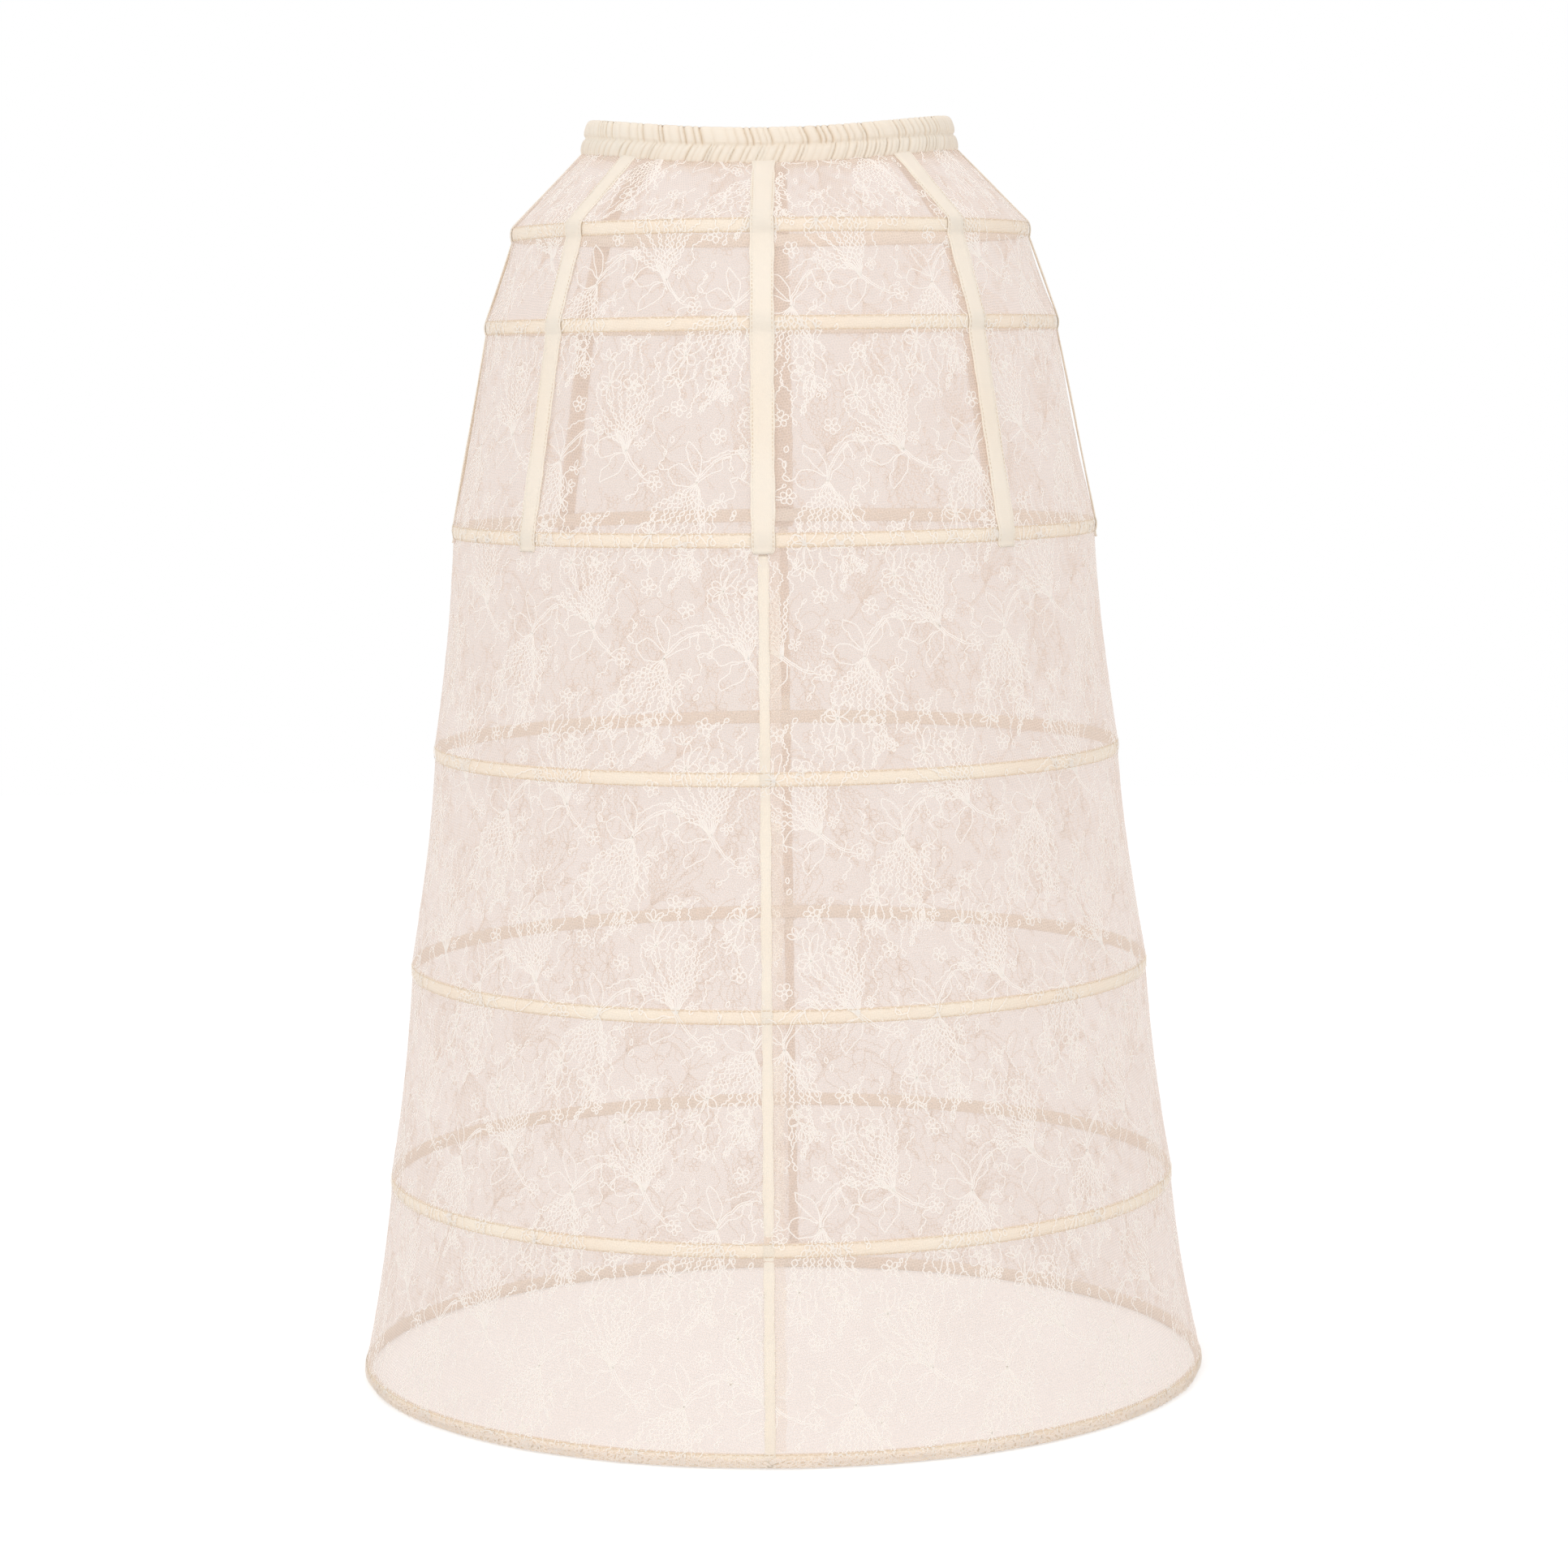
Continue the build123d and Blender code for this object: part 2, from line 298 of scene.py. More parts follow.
def strip(node, turn, runs, width, thickness, stand_off, narrowing=0.0):
    """A flat strip of cloth along the lace, with rolled edges; narrowing rounds its lower end."""
    # Across the strip: (share of half the width, height over its own underside)
    edge = [(-1.0, 0.15), (-0.985, 0.75), (-0.94, 1.0), (-0.86, 0.98), (-0.82, 0.8), (-0.78, 1.0)]
    section = edge + [(-0.4, 1.03), (0.0, 1.05), (0.4, 1.03)] + [(-x, up) for x, up in edge[::-1]]
    section += [(0.9, 0.0), (-0.9, 0.0)]
    points, uvs = [], []
    radius = SMOOTH_SKIRT.radius_at(runs)
    wobble = 0.22 * MM * np.sin(runs / (9 * MM) + turn) + 0.2 * MM * np.sin(runs / (3.1 * MM) + 2 * turn)
    wave = 0.15 * MM * np.sin(runs / (14 * MM) + turn)
    low = np.clip(1 - (runs - runs[0]) / (3 * MM), 0, 1)
    half = width / 2 - narrowing * low**3
    for across, up in section:
        x = across * half + wobble * np.sign(across)
        here, out = SMOOTH_SKIRT.frame_at(turn + x / radius, runs)
        # Folded under at its lower end, so it is thicker there
        lift = stand_off + up * thickness * (1 + 0.7 * low * (narrowing > 0)) + wave * (up > 0.5)
        points.append(here + out * lift[:, None])
        # The underside has a place of its own on the cloth
        sideways = across * width / 2 / MM + (0 if up > 0 else 30)
        uvs.append(np.stack([np.full_like(runs, sideways), runs / MM], 1))
    count = len(runs)
    ends = [[k * count + end for k in range(len(section))] for end in (0, count - 1)]
    faces = grid_faces(len(section), count, close_rows=True) + [ends[0], ends[1][::-1]]
    new_piece(node + "_cloth", points, faces, uvs, [material_for("tape")], "cotton_tape", node)


# Materials


def add(tree, kind, inputs=(), **settings):
    """Adds a node with its settings; a socket takes a value, an output, or a node for its first output."""
    made = tree.nodes.new(kind)
    for name, value in settings.items():
        setattr(made, name, value)
    for socket, value in dict(inputs).items():
        if isinstance(value, bpy.types.Node):
            value = value.outputs[0]
        if isinstance(value, bpy.types.NodeSocket):
            tree.links.new(value, made.inputs[socket])
        else:
            made.inputs[socket].default_value = value
    return made


def new_material(name, build, *settings):
    """A material whose surface is made by a function of its node tree."""
    material = bpy.data.materials.new(name)
    material.use_nodes = True
    tree = material.node_tree
    tree.nodes.clear()
    add(tree, "ShaderNodeOutputMaterial", {0: build(tree, *settings)})
    return material


def rgba(colour):
    return (*tuple(colour)[:3], 1.0)


def thin_cloth(tree, colour, through, surface):
    """Cloth or thread that lets a share of the light through."""
    front = add(tree, "ShaderNodeBsdfPrincipled", {"Base Color": colour, **surface})
    back = add(tree, "ShaderNodeBsdfTranslucent", {"Color": colour})
    return add(tree, "ShaderNodeMixShader", {0: through, 1: front, 2: back})


def net(tree, light, shade, holes, threads):
    """Nylon tulle, a fine net that veils the skirt; holes and threads are how much each of them hides."""
    uv = add(tree, "ShaderNodeUVMap", uv_map="Cloth")
    # The real mesh is 1.2 mm; drawn at 2.2 mm so that it just shows
    waves = add(tree, "ShaderNodeTexNoise", {"Vector": uv, "Scale": 0.12, "Detail": 1.0})
    size = {0: waves.outputs["Color"], 1: (2.2, 2.2, 0.0)}
    moved = add(tree, "ShaderNodeVectorMath", size, operation="MULTIPLY")
    place = add(tree, "ShaderNodeVectorMath", {0: uv, 1: moved}, operation="ADD")
    cells = {"Scale": 1.0, "Mortar Size": 0.28, "Mortar Smooth": 0.8, "Brick Width": 2.2, "Row Height": 1.9}
    mesh = add(tree, "ShaderNodeTexBrick", {"Vector": place, **cells}, offset=0.5)
    # Thicker and thinner stretches, as a veil has, 60 mm across
    cloud = add(tree, "ShaderNodeTexNoise", {"Vector": uv, "Scale": 0.016, "Detail": 3.0})
    ends = {"From Min": 0.3, "From Max": 0.7, "To Min": holes - 0.03, "To Max": holes + 0.03}
    veil = add(tree, "ShaderNodeMapRange", {"Value": cloud.outputs["Fac"], **ends})
    ends = {"To Min": veil, "To Max": threads}
    alpha = add(tree, "ShaderNodeMapRange", {"Value": mesh.outputs["Fac"], **ends})
    colours = {"Factor": cloud.outputs["Fac"], "A": rgba(light), "B": rgba(shade)}
    tint = add(tree, "ShaderNodeMix", colours, data_type="RGBA")
    surface = {"Roughness": 0.75, "IOR": 1.53, "Specular IOR Level": 0.3, "Sheen Weight": 0.15}
    cloth = thin_cloth(tree, tint.outputs["Result"], 0.45, surface)
    hole = add(tree, "ShaderNodeBsdfTransparent")
    return add(tree, "ShaderNodeMixShader", {0: alpha, 1: hole, 2: cloth})


def cord(tree, light, shade):
    """Cotton cord, mercerised and couched on the net. Whiter than the net, with a low twist every 1.5 mm."""
    uv = add(tree, "ShaderNodeUVMap", uv_map="Cloth")
    split = add(tree, "ShaderNodeSeparateXYZ", {0: uv})
    turn = add(tree, "ShaderNodeMath", {0: split.outputs[1], 1: math.tau / 1.5}, operation="MULTIPLY")
    slant = add(tree, "ShaderNodeMath", {0: split, 1: math.pi}, operation="MULTIPLY")
    both = add(tree, "ShaderNodeMath", {0: turn, 1: slant}, operation="ADD")
    twist = add(tree, "ShaderNodeMath", {0: both}, operation="SINE")
    share = add(tree, "ShaderNodeMapRange", {"Value": twist, "From Min": -1.0, "From Max": 1.0})
    colours = {"Factor": share, "A": rgba(shade), "B": rgba(light)}
    tint = add(tree, "ShaderNodeMix", colours, data_type="RGBA")
    surface = {"Roughness": 0.6, "IOR": 1.53, "Specular IOR Level": 0.4, "Sheen Weight": 0.2}
    return thin_cloth(tree, tint.outputs["Result"], 0.4, surface)


def woven(tree, light, shade, spacing, bump, through, fold=None):
    """Woven cotton: threads in the bump, soft yellowed patches, and painted shade deep in its folds."""
    uv = add(tree, "ShaderNodeUVMap", uv_map="Cloth")
    split = add(tree, "ShaderNodeSeparateXYZ", {0: uv})
    # Over-and-under threads: UVs are in millimetres, and so is the spacing
    across = add(tree, "ShaderNodeMath", {0: split, 1: math.tau / spacing}, operation="MULTIPLY")
    up = add(tree, "ShaderNodeMath", {0: split.outputs[1], 1: math.tau / spacing}, operation="MULTIPLY")
    lean = add(tree, "ShaderNodeMath", {0: across, 1: up}, operation="ADD")
    warp = add(tree, "ShaderNodeMath", {0: lean}, operation="SINE")
    weft = add(tree, "ShaderNodeMath", {0: up}, operation="SINE")
    weave = add(tree, "ShaderNodeMath", {0: warp, 1: weft}, operation="ADD")
    cloud = add(tree, "ShaderNodeTexNoise", {"Vector": uv, "Scale": 0.012, "Detail": 4.0})
    thread = add(tree, "ShaderNodeMapRange", {"Value": weave, "From Min": -2.0, "From Max": 2.0})
    parts = {0: thread, 1: 0.35, 2: cloud.outputs["Fac"]}
    blend = add(tree, "ShaderNodeMath", parts, operation="MULTIPLY_ADD")
    amount = add(tree, "ShaderNodeMapRange", {"Value": blend, "From Min": 0.3, "From Max": 1.0})
    colours = {"Factor": amount, "A": rgba(shade), "B": rgba(light)}
    tint = add(tree, "ShaderNodeMix", colours, data_type="RGBA")
    # Painted shade: deep in a gather, as far as the Fold attribute says, the cloth turns towards the fold
    # colour
    if fold is not None:
        depth = add(tree, "ShaderNodeAttribute", attribute_name="Fold")
        colours = {"Factor": depth.outputs["Fac"], "A": tint.outputs["Result"], "B": rgba(fold)}
        tint = add(tree, "ShaderNodeMix", colours, data_type="RGBA")
    relief = add(tree, "ShaderNodeBump", {"Height": thread, "Distance": bump, "Strength": 0.6})
    surface = {"Roughness": 0.85, "IOR": 1.5, "Specular IOR Level": 0.3, "Sheen Weight": 0.25}
    return thin_cloth(tree, tint.outputs["Result"], through, {**surface, "Normal": relief})


def plain(tree, colour, roughness, metallic, grain, ior=1.5):
    """A hard or rubbery finish with fine grain and slight wear; object coordinates in metres."""
    where = add(tree, "ShaderNodeTexCoord")
    spots = {"Vector": where.outputs["Object"], "Scale": 1 / grain, "Detail": 5.0}
    noise = add(tree, "ShaderNodeTexNoise", spots)
    darker = tuple(v * 0.82 for v in tuple(colour)[:3])
    colours = {"Factor": noise.outputs["Fac"], "A": rgba(darker), "B": rgba(colour)}
    tint = add(tree, "ShaderNodeMix", colours, data_type="RGBA")
    ends = {"To Min": roughness - 0.08, "To Max": roughness + 0.08}
    rough = add(tree, "ShaderNodeMapRange", {"Value": noise.outputs["Fac"], **ends})
    relief = add(tree, "ShaderNodeBump", {"Height": noise.outputs["Fac"], "Distance": grain * 0.1})
    surface = {"Roughness": rough, "Metallic": metallic, "IOR": ior, "Normal": relief}
    return add(tree, "ShaderNodeBsdfPrincipled", {"Base Color": tint.outputs["Result"], **surface})


def seen_share(tree, share):
    """A share for rays that the camera follows, straight, in a gloss or through glass, and 0 for others."""
    path = add(tree, "ShaderNodeLightPath")
    rays = {0: path.outputs["Is Camera Ray"], 1: path.outputs["Is Glossy Ray"]}
    seen = add(tree, "ShaderNodeMath", rays, operation="ADD")
    rays = {0: seen, 1: path.outputs["Is Transmission Ray"]}
    seen = add(tree, "ShaderNodeMath", rays, operation="ADD")
    return add(tree, "ShaderNodeMath", {0: seen, 1: share}, operation="MULTIPLY", use_clamp=True)


def floor_paint(tree):
    """Matt paint that the camera sees a little brighter than it is, so that the ground stays white."""
    share = seen_share(tree, 0.3)
    paint = add(tree, "ShaderNodeBsdfDiffuse", {"Color": rgba(linear("FAF9F8"))})
    glow = add(tree, "ShaderNodeEmission", {"Color": rgba(linear("FFFFFF")), "Strength": 1.5})
    return add(tree, "ShaderNodeMixShader", {0: share, 1: paint, 2: glow})


def material_for(key):
    """Makes each material once and hands it out again after that."""
    c = bpy.context.scene.crinoline_colours
    name, *recipe = {
        "net": ("Nylon tulle, warp knitted", net, c.net, c.net_shade, 0.46, 0.7),
        # Flat on a casing of its own colour the net hardly shows
        "net on casing": ("Nylon tulle, stitched down on a casing", net, c.casing, c.casing_shade, 0.08, 0.2),
        "net turned in": ("Nylon tulle, turned in at the seam", net, c.casing, c.net, 0.3, 0.6),
        "cord": ("Mercerised cotton cord, couched", cord, c.cord, c.cord_shade),
        # Over the hem the cords take up the warm colour of the casing
        "cord on hem": ("Mercerised cotton cord, curled over the hem", cord, c.cord, c.hem_cord_shade),
        # Threads 0.5 mm apart, drawn at 1.2 mm so that the twill shows
        "tape": ("Cotton tape, twill woven", woven, c.tape, c.tape_shade, 1.2, 0.12 * MM, 0.25),
        # Threads 0.4 mm apart, drawn at 1.2 mm so that the weave shows
        "casing": ("Cotton casing, plain woven", woven, c.casing, c.casing_shade, 1.2, 0.1 * MM, 0.12),
        # Threads 0.3 mm apart, drawn at 1 mm so that the weave shows; its folds are darkened with painted
        # shade
        "waistband": (
            "Cotton lawn, gathered", woven, c.waistband, c.waistband_shade,
            1.0, 0.08 * MM, 0.2, c.waistband_fold_shade,
        ),
        "stitch": ("Cotton thread, sewn", plain, c.thread, 0.8, 0.0, 0.8 * MM),
        "hoop": ("Nylon cover, extruded over spring steel", plain, linear("F4EFE4"), 0.4, 0.0, 6 * MM, 1.53),
        "joiner": ("Steel sleeve, tinned and crimped", plain, linear("BEBCB8"), 0.35, 1.0, 1.5 * MM),
        "elastic": ("Rubber elastic, braided", plain, linear("F1EBE0"), 0.8, 0.0, 1.0 * MM),
    }[key]
    return bpy.data.materials.get(name) or new_material(name, *recipe)


# The corded pattern: every line is in millimetres, about the knot where a spray's stems meet


def smooth_line(points, step=2.6, closed=False):
    """A curve through the points (Catmull-Rom), in steps of about the given length."""
    points = [np.array(p, float) for p in points]
    if closed:
        points = [points[-1]] + points + points[:2]
    else:
        points = [2 * points[0] - points[1]] + points + [2 * points[-1] - points[-2]]
    line = []
    for a, b, c, d in zip(points, points[1:], points[2:], points[3:]):
        count = max(1, round(np.linalg.norm(c - b) / step))
        for k in range(count):
            t = k / count
            bend = (2 * a - 5 * b + 4 * c - d) * t * t + (3 * b - a - 3 * c + d) * t**3
            line.append(0.5 * (2 * b + (c - a) * t + bend))
    line.append(points[-2])
    return np.array(line)


def along(line):
    """How far each point lies along a line, and the direction across it there."""
    steps = np.linalg.norm(np.diff(line, axis=0), axis=1)
    ahead = np.gradient(line, axis=0)
    ahead /= np.maximum(np.linalg.norm(ahead, axis=1, keepdims=True), 1e-9)
    return np.concatenate([[0.0], np.cumsum(steps)]), np.stack([-ahead[:, 1], ahead[:, 0]], 1)


def petal(x, y, angle, length, width):
    """One loop from a point: a petal, a small leaf or a drop."""
    turn = math.radians(angle)
    ahead = np.array([math.cos(turn), math.sin(turn)]) * length
    side = np.array([-math.sin(turn), math.cos(turn)]) * width
    shape = [(0.0, 0.0), (0.3, 0.36), (0.68, 0.5), (0.95, 0.2), (1.04, -0.05), (0.85, -0.4), (0.45, -0.46)]
    return smooth_line([(x, y) + ahead * a + side * b for a, b in shape], 1.7, closed=True)


def flower(x, y, count, length, width, start):
    """Equal petals about a small ring."""
    lines = []
    for k in range(count):
        angle = start + 360 * k / count
        turn = math.radians(angle)
        lines.append(petal(x + 0.9 * math.cos(turn), y + 0.9 * math.sin(turn), angle, length, width))
    return lines


def chain(path, phase, link, swing):
    """A column of links: two strands that cross at every link."""
    path = smooth_line(path, link / 4)
    run, side = along(path)
    wave = np.sin(math.pi * run / link + phase)[:, None] * side * swing
    return [path + wave, path - wave * 0.9]


def waver(path, swing, wave):
    """A single strand that wavers from side to side."""
    path = smooth_line(path, wave / 5)
    run, side = along(path)
    return path + side * (np.sin(math.tau * run / wave) * swing)[:, None]


def orchid(x, y, way):
    """The large flower: three long petals and four rounder ones."""
    long_petals = [(62, 13, 6.5), (282, 17.5, 5.4), (254, 16.5, 4.8)]
    round_petals = [(108, 9.5, 5), (150, 9, 5.6), (192, 8.6, 6), (335, 8.4, 5.4)]
    return [petal(x, y, way * angle, length, width) for angle, length, width in long_petals + round_petals]


def twig(x, y, angles, length, width):
    """Small leaves that spring from one point."""
    return [petal(x, y, angle, length, width) for angle in angles]


def fan(seed, knot, stem_height, paths):
    """Link chains that spread out, each tied to the knot; stem_height is for the middle of its stem."""
    rng = random.Random(seed)
    lines = []
    for path in paths:
        x, y = path[0]
        lines += chain(path, rng.uniform(0, 3), rng.uniform(3.9, 4.9), rng.uniform(1.4, 1.9))
        lines.append(smooth_line([knot, (x * 0.5, stem_height(y)), path[0]], 2.4))
    return lines


def hanging_spray():
    """A knot of stems with two leaves above it and its fan and flowers below."""
    stems = [
        # Bound at the knot, they run up to a hook and a bud
        ([(0, -3), (1.5, 3), (5, 10), (9, 17), (14, 22)], 2.4),
        ([(1.2, -3), (4, 3), (9, 8), (12, 12), (10.5, 17), (15, 21.5)], 2.4),
        ([(-0.8, -3), (0.5, 4), (4, 11), (8, 18), (13, 23)], 2.4),
        ([(14, 22), (15.5, 18), (17.2, 14.6)], 1.6),
        ([(13, 22), (17, 24), (22, 23.4), (26, 20), (27, 15)], 2.0),
        # The pointed leaf above and the broad leaf to the side, each with one smooth and one notched edge
        ([(-0.5, 0), (-1, 6), (-3, 12), (-8, 17), (-16, 20.5)], 2.2),
        ([(-16, 20.5), (-16, 15), (-12.5, 11.5), (-11, 9.4), (-8, 6), (-4, 2.4), (-0.5, 0)], 1.8),
        ([(-0.5, 0), (-5, 1), (-10, 3.2), (-17, 4), (-21.5, -2), (-20, -6)], 2.2),
        ([(-20, -6), (-15, -9), (-8, -9), (-3, -6.5), (0, -3)], 2.2),
        ([(-21.5, -2), (-25, -3.5)], 2.0),
        # The notched leaf to the other side
        ([(2, -6), (6, -14), (9, -22), (14, -29), (15.5, -34), (19, -37.5), (23.5, -39.5)], 2.2),
        ([(16, -26), (20, -27), (21, -31), (23.6, -32.4), (21.6, -36.5), (23.5, -39.5)], 1.7),
    ]
    # Strands that waver, from the leaves and below the fan: path, swing and length of a wave
    strands = [
        ([(-29.5, -0.5), (-27.4, 5), (-29, 9.5), (-33, 11.5)], 0.35, 5.0),
        ([(14.2, -28), (16.6, -20), (15, -14)], 0.4, 4.4),
        ([(-17, -31), (-20, -37), (-16, -45)], 0.5, 3.6),
        ([(14.5, -38), (16, -45), (15.5, -52), (18.4, -58)], 0.7, 3.4),
        ([(-7, -52), (-4, -57), (1, -62), (2.2, -69), (2, -76), (3, -79)], 0.55, 3.6),
        ([(5, -56), (5.4, -62), (2, -68)], 0.4, 3.4),
        ([(-16.5, -62), (-11, -67), (-8, -72), (-6, -75)], 0.4, 3.6),
        ([(-20, -38), (-26, -44), (-27, -52), (-23.5, -58)], 0.5, 3.4),
        ([(-1.5, -40), (-6, -48), (-5, -56), (-9, -63)], 0.5, 3.6),
        ([(4.6, -39), (1.5, -43)], 0.4, 3.0),
        ([(10.4, -38), (15, -46), (12, -55), (14, -64), (11, -71)], 0.6, 3.5),
        ([(22, -39), (25, -46), (23, -53)], 0.4, 3.6),
    ]
    # Buds and small leaves at the ends of stems and strands, and two lone drops on the bare net
    petals = [
        (17.2, 15, 285, 3.6, 2.6), (27, 15, 280, 5.2, 2.8), (-25, -3.5, 150, 5.4, 2.6),
        (-28, 5, 95, 4.4, 2.4), (3, -79, 290, 4.2, 2.8), (11, -71, 250, 4.4, 2.8),
        (-9, -63, 235, 4.0, 2.6), (-23.5, -58, 300, 4.2, 2.6), (-27, 20, 272, 4.4, 2.8),
        (31, -14, 268, 4.6, 2.8),
    ]
    twigs = [
        (22, 23.4, (75, 20, 130), 5.5, 3.0), (-16.5, -62, (212, 262, 330), 8.6, 3.2),
        (16, -17, (40, 88, -32), 5.4, 2.6),
    ]
    flowers = [
        (7, -46.5, 5, 7.4, 6.4, 20), (7, -46.5, 5, 3.0, 2.4, 56),
        (-5.5, -79.5, 5, 4.8, 4.2, 90), (21.6, -61.5, 4, 3.1, 2.6, 30),
    ]
    chains = [
        [(-7, -12), (-12, -19), (-17.5, -24), (-20, -31), (-19, -38)],
        [(-4.5, -12), (-9, -20), (-12, -28), (-12.5, -37)],
        [(-2.2, -11), (-4.6, -20), (-7.4, -30), (-7, -38)],
        [(0.2, -11), (0, -21), (-2.2, -31), (-1.5, -40)],
        [(2.6, -11), (4.4, -21), (3.4, -33), (4.6, -39)],
        [(4.6, -12), (8, -20), (9.8, -29), (10.4, -38)],
        [(6.6, -12), (11.6, -20), (14, -30), (15.5, -40)],
    ]
    lines = spray_lines(stems, strands, petals, twigs, flowers) + orchid(-16, -45.5, 1)
    lines += fan(11, (0, -3), lambda y: -7.5, chains)
    lines += chain([(13, -64), (9.6, -70), (9, -77)], 0.6, 3.2, 1.2)
    for x, y, drop in ((9.8, -57, 7.5), (14.6, -57, 7.0), (17, -54, 4.5)):
        lines += [smooth_line([(x, y + 4), (x + 0.3, y)], 2.0), petal(x + 0.3, y, 274, drop, 2.5)]
    return lines


def standing_spray():
    """The spray between two hanging ones: its fan and flowers stand up and lean away."""
    stems = [
        ([(-14, 11), (-7, 6), (0, 0), (5, -4), (11, -7), (18, -9.6), (24, -10)], 2.4),
        ([(-12, 12), (-6, 6.5), (0.8, 0.8), (6, -3), (12, -6), (20, -8.6)], 2.4),
        ([(-15, 9.6), (-8, 5), (-0.8, -0.8), (4, -5)], 2.4),
        ([(19, -8.8), (21, -5), (24.4, -3.2)], 1.6),
        ([(15, -8.4), (16.4, -4.4), (15, -1.6)], 1.6),
        ([(14, -9), (12, -13.4)], 2.0),
        # Leaves
        ([(-1, 0.5), (-7, 4), (-14, 5), (-20, 4), (-23.5, -1), (-25.5, -6.5)], 2.2),
        ([(-1, -0.5), (-8, -3.5), (-13, -8), (-17.5, -10), (-20.5, -8), (-25.5, -6.5)], 1.8),
        ([(2, -3.5), (1.5, -12), (-3, -18), (-9, -25.5)], 2.2),
        ([(-4, -2), (-9, -7), (-8.5, -12), (-12, -17), (-11.4, -21.5), (-9, -25.5)], 1.8),
        ([(-25.5, -6.5), (-29, -6)], 2.0),
        ([(-40, -36), (-38, -42), (-34, -48), (-29, -50)], 2.2),
        ([(-38.6, -33), (-34, -36), (-33, -40), (-29.4, -42), (-31.4, -47), (-29, -50)], 1.8),
        ([(-56, 45), (-62, 48.4), (-69, 47.4)], 2.0),
    ]
    strands = [
        ([(24, -10.6), (18.4, -14), (20, -19), (16.6, -23.6)], 0.35, 4.6),
        ([(-31.5, -11.5), (-26.5, -16), (-27.5, -21.5), (-31, -24)], 0.4, 5.0),
        ([(-33, -25), (-38, -28.5), (-40, -36)], 0.35, 5.2),
        ([(-24, 20.6), (-29, 27), (-34, 35)], 0.5, 3.6),
        ([(-13, 52), (-18, 60), (-23, 66), (-22, 74)], 0.55, 3.6),
        ([(-4.6, 31), (-2.4, 38), (-4.6, 45), (-1, 52), (-4, 60)], 0.6, 3.4),
        ([(-42, 50), (-37, 56), (-35, 61)], 0.4, 3.6),
        ([(-33, 10.6), (-40, 8.6), (-47, 3), (-54, -5)], 0.4, 5.4),
        ([(-7, 42), (-9, 50), (-6, 58), (-10, 66), (-7, 73)], 0.6, 3.5),
        ([(2.4, 40), (6, 47), (3, 55), (7, 62)], 0.5, 3.6),
        ([(-24, 35), (-27, 44), (-24, 52), (-28, 59)], 0.5, 3.4),
        ([(-32, 18), (-40, 24), (-43, 33)], 0.5, 3.6),
        ([(8, 12), (12, 20), (8, 28), (12, 36)], 0.5, 3.8),
    ]
    petals = [
        (24.4, -3.2, 30, 3.4, 2.4), (16.6, -23.6, 250, 4.0, 2.6), (-29, -6, 240, 5.6, 2.6),
        (-29, -50, 300, 4.2, 3.0), (-22, 74, 60, 4.2, 2.8), (-4, 60, 110, 4.4, 2.8),
        (7, 62, 70, 4.4, 2.8), (12, 36, 60, 4.2, 2.6), (-7, 73, 100, 4.2, 2.6),
        (-22, -27, 272, 4.4, 2.8),
    ]
    twigs = [(-33, -24.6, (98, 205, 322), 5.4, 2.6), (-42, 50, (62, 118, 168), 8.0, 3.2)]
    flowers = [
        (28.4, -9.6, 5, 4.4, 3.9, 10), (-16, 43, 5, 7.0, 6.0, 50), (-16, 43, 5, 2.8, 2.4, 14),
        (6.5, 9.5, 4, 3.2, 2.8, 20), (-33.4, 66, 5, 4.8, 4.2, 30), (-51, 15, 5, 4.8, 4.2, 60),
        (-32.6, 10.6, 4, 3.2, 2.8, 20), (-56, 42, 4, 3.1, 2.6, 0),
    ]
    chains = [
        [(-9, 6), (-16, 5.5), (-24, 8), (-31, 7)],
        [(-8.5, 7.6), (-16, 11), (-25, 14), (-32, 18)],
        [(-8, 9), (-15, 14.6), (-23, 21), (-30, 27)],
        [(-7, 10.6), (-12.6, 18), (-19.5, 27), (-24, 35)],
        [(-5.4, 11.6), (-10, 21), (-14.6, 31), (-20, 41)],
        [(-3.8, 12), (-7, 22), (-9.4, 33), (-10, 39)],
        [(-2.2, 12), (-3.2, 22), (-4.2, 32), (-7, 42)],
        [(-0.6, 11.6), (1, 21), (0.4, 31), (2.4, 40)],
    ]
    lines = spray_lines(stems, strands, petals, twigs, flowers) + orchid(-34, 36, -1)
    lines += fan(29, (-0.6, 1.4), lambda y: y * 0.55, chains)
    lines += chain([(-27.5, 59), (-29, 66), (-25, 73)], 1.2, 3.2, 1.2)
    for x, y, drop in ((-63, 45, 7.5), (-69, 44, 6.8)):
        lines += [smooth_line([(x, y + 3.4), (x, y)], 2.0), petal(x, y, 268, drop, 2.4)]
    return lines


def spray_lines(stems, strands, petals, twigs, flowers):
    """The lines of a spray, apart from its large flower, its fan and its drops."""
    lines = [smooth_line(*row) for row in stems] + [waver(*row) for row in strands]
    lines += [petal(*row) for row in petals]
    for row in twigs:
        lines += twig(*row)
    for row in flowers:
        lines += flower(*row)
    return lines


def crooked(cut):
    """Cords are never laid quite true: each point of the cut is moved by up to half a millimetre."""
    x, y = cut[:, 0], cut[:, 1]
    across = 0.32 * np.sin(y / 1.9 + 1.7 * np.sin(x / 5.1)) + 0.2 * np.sin(x / 1.3 + y / 2.1)
    up = 0.32 * np.sin(x / 1.8 + 1.6 * np.sin(y / 4.7)) + 0.2 * np.sin(y / 1.2 - x / 2.3)
    return cut + np.stack([across, up], 1)


